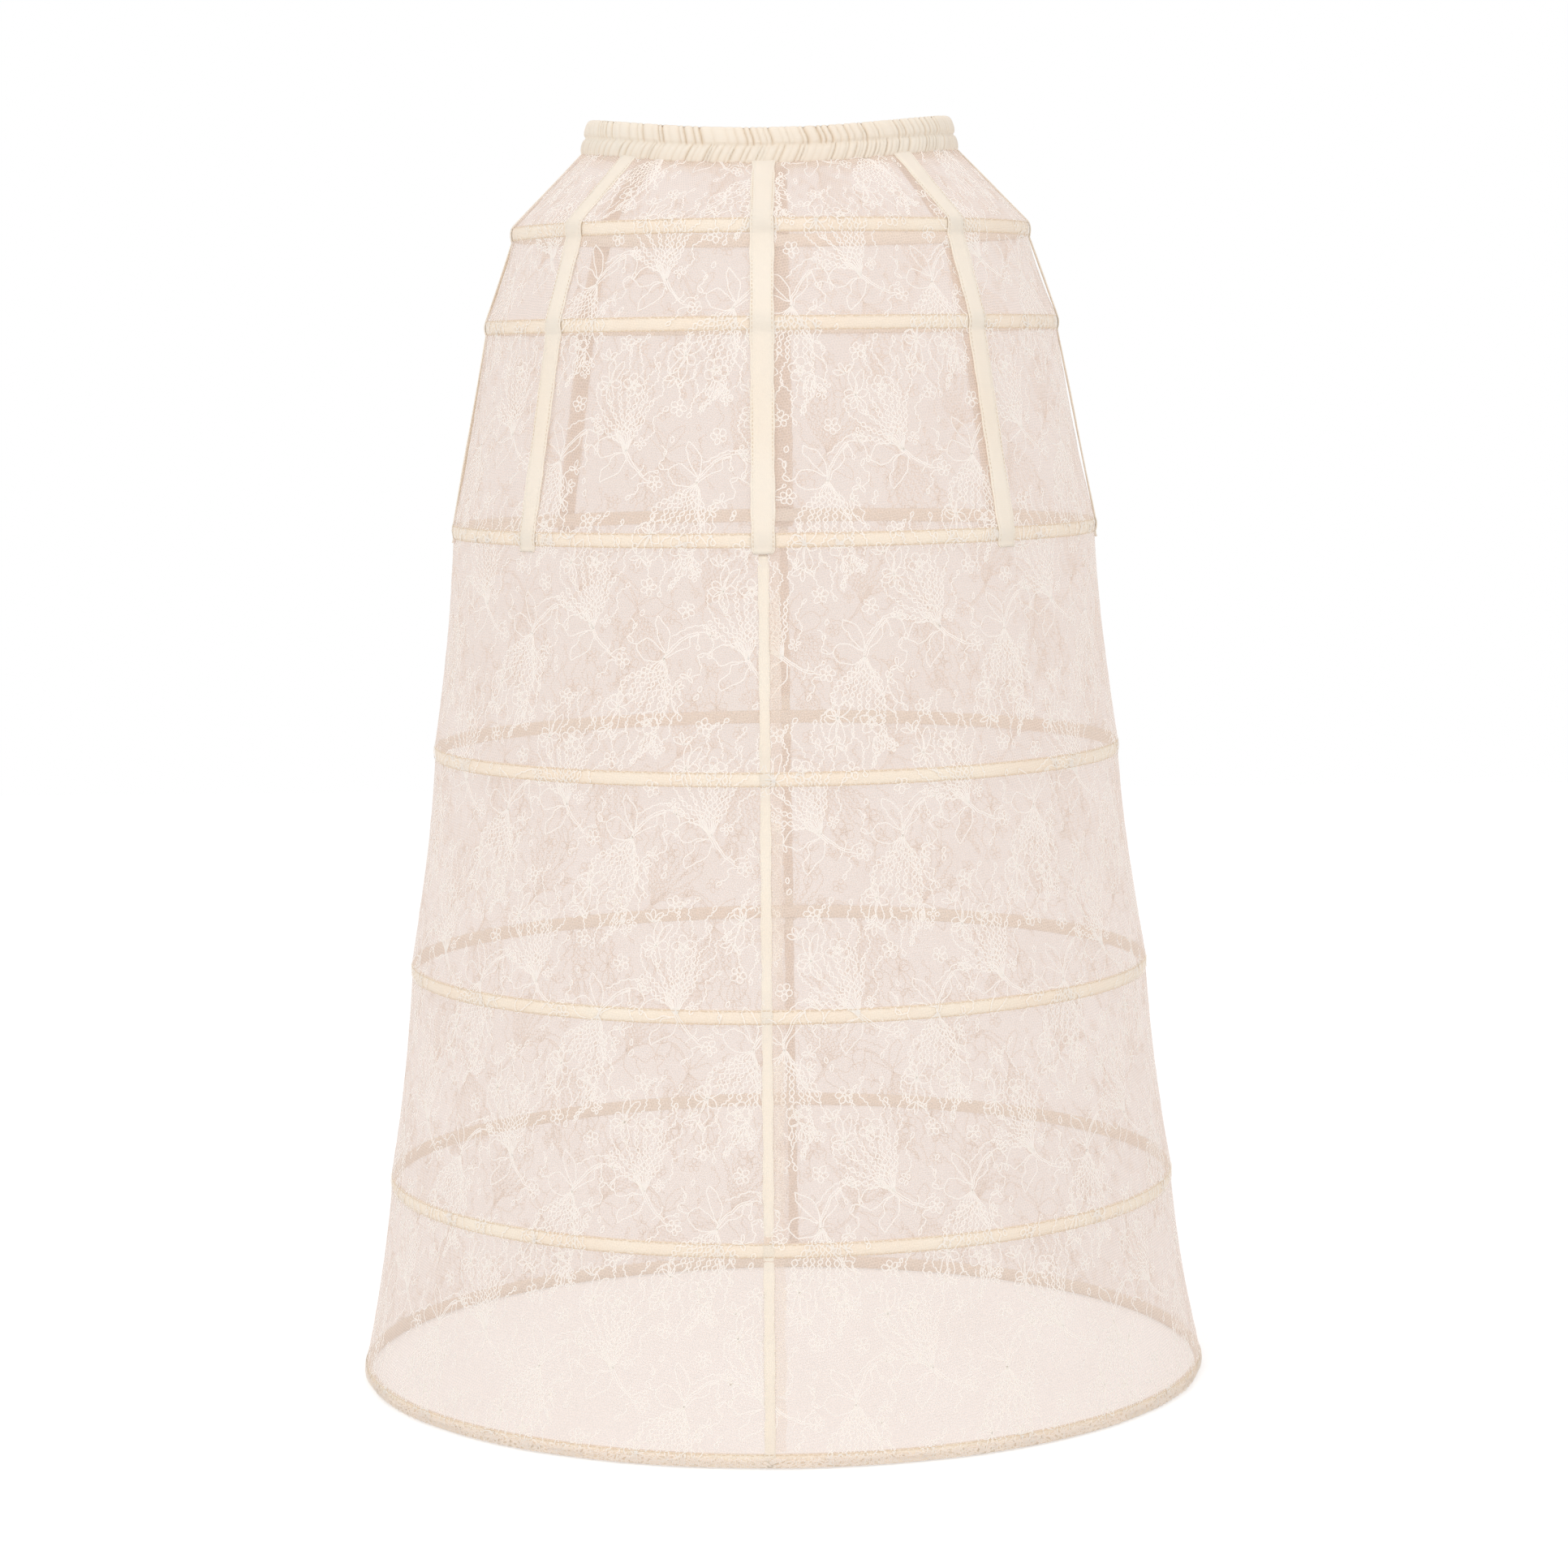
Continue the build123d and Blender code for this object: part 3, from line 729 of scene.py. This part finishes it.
def parts_on_panel(cut, way):
    """Cuts a line where it leaves the panel, and gives each part as turns and runs on the skirt."""
    turns, runs = panel_place(cut * MM, way)
    keep = (np.abs(turns - way * math.pi / 2) < math.pi / 2) & (runs > 1.2 * MM) & (runs < SKIRT.top)
    parts = np.split(np.arange(len(cut)), np.flatnonzero(np.diff(keep.astype(int))) + 1)
    return [(turns[part], runs[part]) for part in parts if keep[part[0]] and len(part) > 1]


def pattern_lines(way):
    """The sprays over one panel, in straight rows on its flat cut. Each leans a little, by its own angle."""
    rng = random.Random(17)
    # Each spray with the place of its first knot across the left and the right panel, and up both
    sprays = [
        (hanging_spray(), {1: -296.0, -1: 298.0}, 199.0),
        (standing_spray(), {1: -350.0, -1: 243.5}, 206.0),
    ]
    lines = []
    for spray, first, height in sprays:
        for row in range(-2, 8):
            for column in range(-7, 8):
                middle = np.array([first[way] + SPRAYS_ACROSS * column, height + SPRAYS_UP * row])
                turn, run = panel_place(middle[None] * MM, way)
                if abs(turn[0] - way * math.pi / 2) > 2.0 or not -0.1 < run[0] < SKIRT.top + 0.1:
                    continue
                lean = math.radians(rng.uniform(-15, -9))
                move = np.array([[math.cos(lean), math.sin(lean)], [-math.sin(lean), math.cos(lean)]])
                middle = middle + (rng.uniform(-1.5, 1.5), rng.uniform(-1.5, 1.5))
                for line in spray:
                    lines += parts_on_panel(crooked(line @ move + middle), way)
    return lines


def hem_lines(way):
    """The lace turned up over the hem: its cords lie in curls that cover the roll."""
    # Height of each cord's middle, width and height of its curls in millimetres, and curls in half a turn
    cords = [
        (1.8, 2.2, 1.3, 151), (3.2, 1.8, 1.6, 173), (4.6, 2.4, 1.5, 139),
        (5.8, 1.7, 1.4, 187), (3.9, 2.6, 2.4, 97),
    ]
    turns = way * np.linspace(0.002, math.pi - 0.002, HEM_POINTS)
    lines = []
    for k, (run, wide, tall, curls) in enumerate(cords):
        swing = 2 * curls * turns + 1.7 * np.sin(23 * turns + k) + k
        moved = turns + wide * MM / ROWS[0][1] * np.sin(swing + 0.8 * np.sin(41 * turns))
        runs = (run + tall * np.cos(swing * 0.87 + 1.1 * np.sin(17 * turns + 2 * k))) * MM
        lines.append((np.clip(moved, *sorted((0, way * math.pi))), np.maximum(runs, 0.5 * MM)))
    return lines


# Settings


def length_setting(name, description, millimetres):
    return FloatProperty(name=name, description=description, default=millimetres * MM, unit="LENGTH")


class CrinolineSizes(bpy.types.PropertyGroup):
    cord_width: length_setting("Cord width", "Width of the couched cord", 0.85)
    cord_lift: length_setting("Cord lift", "How high the cord lies over the net", 0.3)
    tape_width: length_setting("Tape width", "Width of the eight tapes", 16)
    strip_width: length_setting("Seam strip width", "Width of the strip over a seam", 7)
    gather_depth: length_setting("Gather depth", "Depth of the waistband's gathers", 2.2)
    stitch_length: length_setting("Stitch length", "Length of a machine stitch", 2.2)
    upper_gathers: IntProperty(name="Upper gathers", description="Gathers round the upper row", default=144)
    lower_gathers: IntProperty(name="Lower gathers", description="Gathers round the lower row", default=192)


def colour_setting(name, description, hex_colour):
    return FloatVectorProperty(
        name=name, description=description, subtype="COLOR", size=3, default=linear(hex_colour)
    )


class CrinolineColours(bpy.types.PropertyGroup):
    net: colour_setting("Net", "Net of the lace", "F4E6DD")
    net_shade: colour_setting("Net, denser", "Net where it is denser", "EEDFD5")
    cord: colour_setting("Cord", "Couched cord", "FFFDF9")
    cord_shade: colour_setting("Cord, twist", "Cord between its twists", "FEF8F1")
    hem_cord_shade: colour_setting("Hem cord, twist", "Hem cord between its twists", "FAEADA")
    tape: colour_setting("Tape", "Twill tape", "FFF8EC")
    tape_shade: colour_setting("Tape, yellowed", "Twill tape in its darker patches", "FDF2E2")
    casing: colour_setting("Casing", "Casing cloth", "FFF7E8")
    casing_shade: colour_setting("Casing, yellowed", "Casing cloth in its darker patches", "FDEBD8")
    waistband: colour_setting("Waistband", "Gathered cotton lawn", "FFF7E9")
    waistband_shade: colour_setting("Waistband, yellowed", "Lawn in its darker patches", "FEF0DE")
    # Painted shade: the colour that the waistband is darkened towards deep in its gathers
    waistband_fold_shade: colour_setting("Waistband, folds", "Lawn deep in its folds", "DDC09A")
    thread: colour_setting("Thread", "Machine stitches", "E7D0B2")


# Operators


class CRINOLINE_OT_stage(bpy.types.Operator):
    """Makes the pale floor, the soft studio light and the camera"""

    bl_idname = "crinoline.stage"
    bl_label = "Stage"

    def execute(self, context):
        scene = context.scene
        scene.view_settings.view_transform = "Standard"
        floor_mesh = bpy.data.meshes.new("Floor")
        corners = [(x * FLOOR_HALF, y * FLOOR_HALF, 0) for x, y in ((-1, -1), (1, -1), (1, 1), (-1, 1))]
        floor_mesh.from_pydata(corners, [], [(0, 1, 2, 3)])
        floor_mesh.materials.append(new_material("Studio floor, matt paint", floor_paint))
        floor = bpy.data.objects.new("Floor", floor_mesh)
        floor.location.z = -FLOOR_DROP
        scene.collection.objects.link(floor)

        world = bpy.data.worlds.new("Studio")
        scene.world = world
        world.use_nodes = True
        tree = world.node_tree
        tree.nodes.clear()
        seen = seen_share(tree, 1.0)
        air = add(tree, "ShaderNodeBackground", {"Color": rgba(linear("F7F8FA")), "Strength": 0.8})
        white = add(tree, "ShaderNodeBackground", {"Color": (1, 1, 1, 1), "Strength": 1.0})
        mixed = add(tree, "ShaderNodeMixShader", {0: seen, 1: air, 2: white})
        add(tree, "ShaderNodeOutputWorld", {0: mixed})

        for name, place, size, power in LAMPS:
            lamp = bpy.data.lights.new(name, "AREA")
            lamp.energy = power
            lamp.size = size
            lamp_object = bpy.data.objects.new(name, lamp)
            lamp_object.location = place
            lamp_object.rotation_euler = (LAMP_AIM - Vector(place)).to_track_quat("-Z", "Y").to_euler()
            scene.collection.objects.link(lamp_object)

        camera_data = bpy.data.cameras.new("Camera")
        camera_data.sensor_width = 36.0
        camera_data.lens = CAMERA_LENS
        camera = bpy.data.objects.new("Camera", camera_data)
        across, back = math.sin(CAMERA_TURN), math.cos(CAMERA_TURN)
        camera.location = (CAMERA_DISTANCE * across, -CAMERA_DISTANCE * back, CAMERA_HEIGHT)
        aim = Vector((CAMERA_AIM_SIDE * back, CAMERA_AIM_SIDE * across, CAMERA_AIM_HEIGHT)) - camera.location
        lean = Quaternion((0.0, 0.0, 1.0), CAMERA_LEAN)
        camera.rotation_mode = "QUATERNION"
        camera.rotation_quaternion = aim.to_track_quat("-Z", "Y") @ lean
        scene.collection.objects.link(camera)
        scene.camera = camera
        return {"FINISHED"}


class CRINOLINE_OT_cords(bpy.types.Operator):
    """Lays the corded sprays on the net, and the curled cords over the hem"""

    bl_idname = "crinoline.cords"
    bl_label = "Corded pattern"

    def execute(self, context):
        sizes = context.scene.crinoline_sizes
        middle = SKIRT.run_at(CORDS_PART)
        for side, way in SIDES:
            parts = {"lower": [], "upper": []}
            for turns, runs in pattern_lines(way):
                parts["lower" if runs.mean() < middle else "upper"].append((turns, runs))
            for part, lines in parts.items():
                mesh = ribbons(lines, sizes.cord_width, sizes.cord_lift, SKIRT)
                new_piece(f"{side}_{part}_lace_cords", *mesh, [material_for("cord")], "lace")
            mesh = ribbons(hem_lines(way), sizes.cord_width, 2 * sizes.cord_lift, SKIRT)
            new_piece(side + "_hem_cords", *mesh, [material_for("cord on hem")], "lace")
        return {"FINISHED"}


class CRINOLINE_OT_lace(bpy.types.Operator):
    """Makes the two net panels of the skirt"""

    bl_idname = "crinoline.lace"
    bl_label = "Lace panels"

    def execute(self, context):
        # Even rows up the net, with three on each casing in place of those near it
        runs = set(np.round(np.arange(0.0, SKIRT.top + 2 * MM, NET_ROW), 6))
        on_casing = [(mark - HALF_CASING, mark + HALF_CASING) for mark in SKIRT.stays[:-1]]
        for low, high in on_casing:
            runs = {run for run in runs if not low - 1.5 * MM < run < high + 1.5 * MM}
            runs |= {round(max(run, 0.0), 6) for run in (low, (low + high) / 2, high)}
        runs = np.array(sorted(runs | {round(SKIRT.top + 1.2 * MM, 6)}))
        middles = (runs[1:] + runs[:-1]) / 2
        held = [int(any(low < run < high for low, high in on_casing)) for run in middles]
        nets = [material_for("net"), material_for("net on casing")]
        for side, way in SIDES:
            turns, heights = np.meshgrid(np.linspace(*sorted((0.0, way * math.pi)), NET_COLUMNS), runs)
            mesh = (SKIRT.place(turns, heights), grid_faces(*turns.shape), panel_cut(turns, heights, way))
            which = np.repeat(held, turns.shape[1] - 1)
            piece = new_piece(side + "_lace_net", *mesh, nets, "lace", side + "_lace_panel", which)
        # The lace's upper edge is turned in under the waistband and shows through the net
        turns, drops = np.meshgrid(np.linspace(0, math.tau, 900), np.array([0.0, 3.0, 6.0, 8.0]) * MM)
        drops = drops * (1 + 0.12 * np.sin(37 * turns + 1.5 * np.sin(11 * turns)))
        here, out = SKIRT.frame_at(turns, SKIRT.top - 1 * MM - drops)
        uvs = np.stack([turns * LACE_WAIST_RADIUS / MM, drops / MM], -1)
        mesh = (here - out * 0.8 * MM, grid_faces(*turns.shape), uvs)
        new_piece("waist_seam_allowance", *mesh, [material_for("net turned in")], "lace")
        return {"FINISHED"}


class CRINOLINE_OT_waistband(bpy.types.Operator):
    """Makes the gathered waistband with its two rows"""

    bl_idname = "crinoline.waistband"
    bl_label = "Waistband"

    def execute(self, context):
        sizes = context.scene.crinoline_sizes
        rng = random.Random(5)
        turns = np.linspace(0, math.tau, WAIST_COLUMNS, endpoint=False)

        # Each row's gathers have their own widths, depths and slants, so the rows don't line up
        rows = []
        for count in (sizes.lower_gathers, sizes.upper_gathers):
            widths = [rng.choice((0.6, 0.8, 1.0, 1.25, 1.7)) * rng.uniform(0.85, 1.15) for _ in range(count)]
            edges = np.concatenate([[0.0], np.cumsum(widths)]) * math.tau / np.sum(widths)
            deep = np.array([rng.choice((0.25, 0.45, 0.6, 0.8, 1.0)) for _ in range(count + 1)])
            deep[-1] = deep[0]
            rows.append((edges, deep))

        def swell(row, slant):
            """How far the cloth stands out, from 0 deep in a gather to 1 on its swell."""
            edges, deep = rows[row]
            moved = (turns + slant) % math.tau
            which = np.clip(np.searchsorted(edges, moved, side="right") - 1, 0, len(edges) - 2)
            share = (moved - edges[which]) / (edges[which + 1] - edges[which])
            near = np.where(share < 0.5, deep[which], deep[which + 1])
            return 1 - near * (1 - np.sin(math.pi * share) ** 0.5)

        # (height, inwards, share of the lower row, share of the upper), up the outer side and down the inner
        section = [
            (-1.6, 2.0, 0.5, 0.0), (-0.9, 1.2, 0.6, 0.0), (0.2, 0.7, 0.8, 0.0), (1.6, 0.2, 0.95, 0.0),
            (3.4, -0.1, 1.0, 0.0), (5.4, -0.2, 1.0, 0.0), (7.2, 0.0, 1.0, 0.0), (8.6, 0.5, 0.9, 0.0),
            (9.5, 1.5, 0.7, 0.15), (10.2, 1.7, 0.45, 0.45), (10.9, 1.5, 0.15, 0.7), (11.8, 0.6, 0.0, 0.9),
            (13.2, 0.0, 0.0, 1.0), (15.2, -0.2, 0.0, 1.0), (17.2, -0.1, 0.0, 1.0), (19.0, 0.2, 0.0, 1.0),
            (20.6, 0.7, 0.0, 0.9), (21.7, 1.5, 0.0, 0.8), (22.2, 2.5, 0.0, 0.7), (21.8, 3.6, 0.0, 0.6),
            (20.4, 4.4, 0.0, 0.5), (15.0, 4.9, 0.0, 0.5), (10.0, 4.5, 0.2, 0.2), (5.0, 4.9, 0.5, 0.0),
            (-0.6, 4.4, 0.3, 0.0),
        ]
        bottom, top, outer = range(2), range(15, 20), range(18)
        points, uvs, folds = [], [], []
        lengths = section_lengths([row[:2] for row in section])
        for k, (height, inwards, one, two) in enumerate(section):
            # The lower gathers slant, the upper ones bend
            lower = swell(0, -0.0035 * height)
            upper = swell(1, 0.005 * math.sin(0.35 * height) + 0.0015 * height)
            stand = one * lower + two * upper + (1 - one - two)
            lift = height * MM + (upper - 0.8) * (1.3 * MM if k in top else 0.0)
            lift = lift + (lower - 0.8) * (-0.8 * MM if k in bottom else 0.0)
            depth = (1 if k in outer else -1) * sizes.gather_depth * (1 - stand)
            points.append(waist_point(WAIST_RADIUS + (0.7 - inwards) * MM - depth, turns, lift))
            uvs.append(np.stack([turns * WAIST_RADIUS / MM, np.full_like(turns, lengths[k])], 1))
            # How far painted shade darkens the lawn towards the fold colour, most deeply in a gather
            folds.append(np.clip(0.95 * (1 - stand) ** 1.2, 0, 0.65))
        faces = grid_faces(len(section), len(turns), close_rows=True, close_columns=True)
        lawn = [material_for("waistband")]
        new_piece("gathered_waistband", points, faces, uvs, lawn, "waistband_cotton", "waistband", fold=folds)
        return {"FINISHED"}


class CRINOLINE_OT_casings(bpy.types.Operator):
    """Makes the casings that carry the hoops"""

    bl_idname = "crinoline.casings"
    bl_label = "Casings"

    def execute(self, context):
        turns = np.linspace(0, math.tau, CASING_COLUMNS, endpoint=False)
        # A flat tube: its outer wall lies under the lace, its inner wall behind the hoop.
        # (share of half the height, inwards, how loose it is), up the outer wall and down the inner
        outer = [(-1.0, 2.2, 0.0), (-0.93, 1.7, 0.5), (-0.8, 1.3, 1.0), (-0.55, 0.8, 0.6)]
        inner = [(0.88, 3.6, 0.5), (0.66, 4.4, 0.3)]
        section = outer + [(0.0, 0.6, 0.2)] + [(-up, *rest) for up, *rest in outer[::-1]]
        section += inner + [(0.0, 4.7, 0.0)] + [(-up, *rest) for up, *rest in inner[::-1]]
        lengths = section_lengths([(up * HALF_CASING / MM, inwards) for up, inwards, _ in section])
        faces = grid_faces(len(section), len(turns), close_rows=True, close_columns=True)
        for k, (name, (height, radius)) in enumerate(zip(HOOPS, ROWS)):
            pucker = 0.2 * MM * np.sin(turns * radius / (4.5 * MM) + k) * np.sin(turns * 23 + 2 * k)
            points, uvs = [], []
            for length, (up, inwards, loose) in zip(lengths, section):
                r = radius - inwards * MM + loose * pucker
                z = np.maximum(height + up * HALF_CASING + 0.25 * loose * pucker, 0.3 * MM)
                points.append(np.stack([r * np.sin(turns), -r * np.cos(turns), z], 1))
                uvs.append(np.stack([turns * radius / MM, np.full_like(turns, length)], 1))
            node = name + "_casing"
            new_piece(node + "_cloth", points, faces, uvs, [material_for("casing")], "casing_cloth", node)
        return {"FINISHED"}


class CRINOLINE_OT_tapes(bpy.types.Operator):
    """Makes the eight tapes, the two seam strips and the seams' edges"""

    bl_idname = "crinoline.tapes"
    bl_label = "Tapes and seam strips"

    def execute(self, context):
        sizes = context.scene.crinoline_sizes
        runs = np.linspace(TAIL_RUN, SMOOTH_SKIRT.top + 0.5 * MM, 130)
        for k, name in enumerate(TAPES):
            turn = k * math.tau / len(TAPES)
            strip(name + "_tape", turn, runs, sizes.tape_width, 0.9 * MM, 0.25 * MM, narrowing=1.2 * MM)
        for name, turn in (("front", 0.0), ("back", math.pi)):
            # The strips lie just under the net, since its cords pass over them
            runs = np.linspace(0.6 * MM, TAIL_RUN - 0.2 * MM, 220)
            strip(name + "_seam_strip", turn, runs, sizes.strip_width, 0.45 * MM, -0.55 * MM)
            # The edges of the two panels, turned in and laid to one side inside the seam
            start, end = 3.2 * MM, 10.8 * MM
            heights = np.linspace(11 * MM, TAIL_RUN + 2 * MM, 200)
            across, heights = np.meshgrid(np.linspace(start, end, 5), heights)
            rough = (across - start) / (end - start)
            across += rough * 0.7 * MM * np.sin(heights / (5.3 * MM) + 2 * np.sin(heights / (31 * MM)))
            here, out = SMOOTH_SKIRT.frame_at(turn + across / SMOOTH_SKIRT.radius_at(heights), heights)
            mesh = (here - out * 0.9 * MM, grid_faces(*across.shape), np.stack([across, heights], -1) / MM)
            new_piece(name + "_seam_allowance", *mesh, [material_for("net turned in")], "lace")
        return {"FINISHED"}


class CRINOLINE_OT_stitches(bpy.types.Operator):
    """Sews the casings and tapes down"""

    bl_idname = "crinoline.stitches"
    bl_label = "Stitches"

    def execute(self, context):
        length = context.scene.crinoline_sizes.stitch_length
        rows = []
        for k, (mark, (_, radius)) in enumerate(zip(SKIRT.stays, ROWS)):
            count = round(math.tau * radius / (length * 1.45))
            # The hem's casing has no row under it
            for up in (1,) if k == 0 else (-1, 1):
                for n in range(count):
                    turn = math.tau * (n + 0.1 * math.sin(n * 2.4)) / count
                    run = mark + up * (HALF_CASING - 0.7 * MM) + 0.2 * MM * math.sin(n * 1.9 + k)
                    end = run + 0.25 * MM * math.cos(n * 3.1)
                    rows.append((np.array([turn, turn + length / radius]), np.array([run, end])))
        mesh = ribbons(rows, 0.5 * MM, 0.4 * MM, SKIRT)
        new_piece("casing_stitches", *mesh, [material_for("stitch")], "cotton_tape")
        rows = []
        for k in range(len(TAPES)):
            for side in (-1, 1):
                for run in np.arange(TAIL_RUN + 2 * MM, SMOOTH_SKIRT.top - 1 * MM, length * 1.3):
                    turn = k * math.tau / len(TAPES) + side * 6.6 * MM / SMOOTH_SKIRT.radius_at(run)
                    rows.append((np.array([turn, turn]), np.array([run, run + length * 0.7])))
        mesh = ribbons(rows, 0.4 * MM, 1.12 * MM, SMOOTH_SKIRT)
        new_piece("tape_stitches", *mesh, [material_for("stitch")], "cotton_tape")
        return {"FINISHED"}


class CRINOLINE_OT_hoops(bpy.types.Operator):
    """Gives the hoops, joiners and elastics their finishes"""

    bl_idname = "crinoline.hoops"
    bl_label = "Hoops, joiners and elastics"

    def execute(self, context):
        finishes = {"lower_waist_elastic": "elastic", "upper_waist_elastic": "elastic"}
        for name in HOOPS:
            finishes[name] = "hoop"
            finishes[name + "_joiner"] = "joiner"
        for name, key in finishes.items():
            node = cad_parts[name]
            if not node.material_slots:
                node.data.materials.append(material_for(key))
            for slot in node.material_slots:
                slot.material = material_for(key)
        return {"FINISHED"}


class CRINOLINE_PT_panel(bpy.types.Panel):
    """Lists the settings and the pieces of the crinoline cage"""

    bl_label = "Crinoline cage"
    bl_idname = "CRINOLINE_PT_panel"
    bl_space_type = "VIEW_3D"
    bl_region_type = "UI"
    bl_category = "Crinoline"

    def draw(self, context):
        layout = self.layout
        for group in (context.scene.crinoline_sizes, context.scene.crinoline_colours):
            for name in group.__annotations__:
                layout.prop(group, name)
        for operator in OPERATORS:
            layout.operator(operator.bl_idname)


OPERATORS = [
    CRINOLINE_OT_stage,
    CRINOLINE_OT_cords,
    CRINOLINE_OT_lace,
    CRINOLINE_OT_waistband,
    CRINOLINE_OT_casings,
    CRINOLINE_OT_tapes,
    CRINOLINE_OT_stitches,
    CRINOLINE_OT_hoops,
]
CLASSES = [CrinolineSizes, CrinolineColours, *OPERATORS, CRINOLINE_PT_panel]


def register():
    for cls in CLASSES:
        bpy.utils.register_class(cls)
    bpy.types.Scene.crinoline_sizes = PointerProperty(type=CrinolineSizes)
    bpy.types.Scene.crinoline_colours = PointerProperty(type=CrinolineColours)


def unregister():
    del bpy.types.Scene.crinoline_colours
    del bpy.types.Scene.crinoline_sizes
    for cls in reversed(CLASSES):
        bpy.utils.unregister_class(cls)


def main():
    register()
    for operator in OPERATORS:
        group, name = operator.bl_idname.split(".")
        getattr(getattr(bpy.ops, group), name)()


if __name__ == "__main__":
    main()
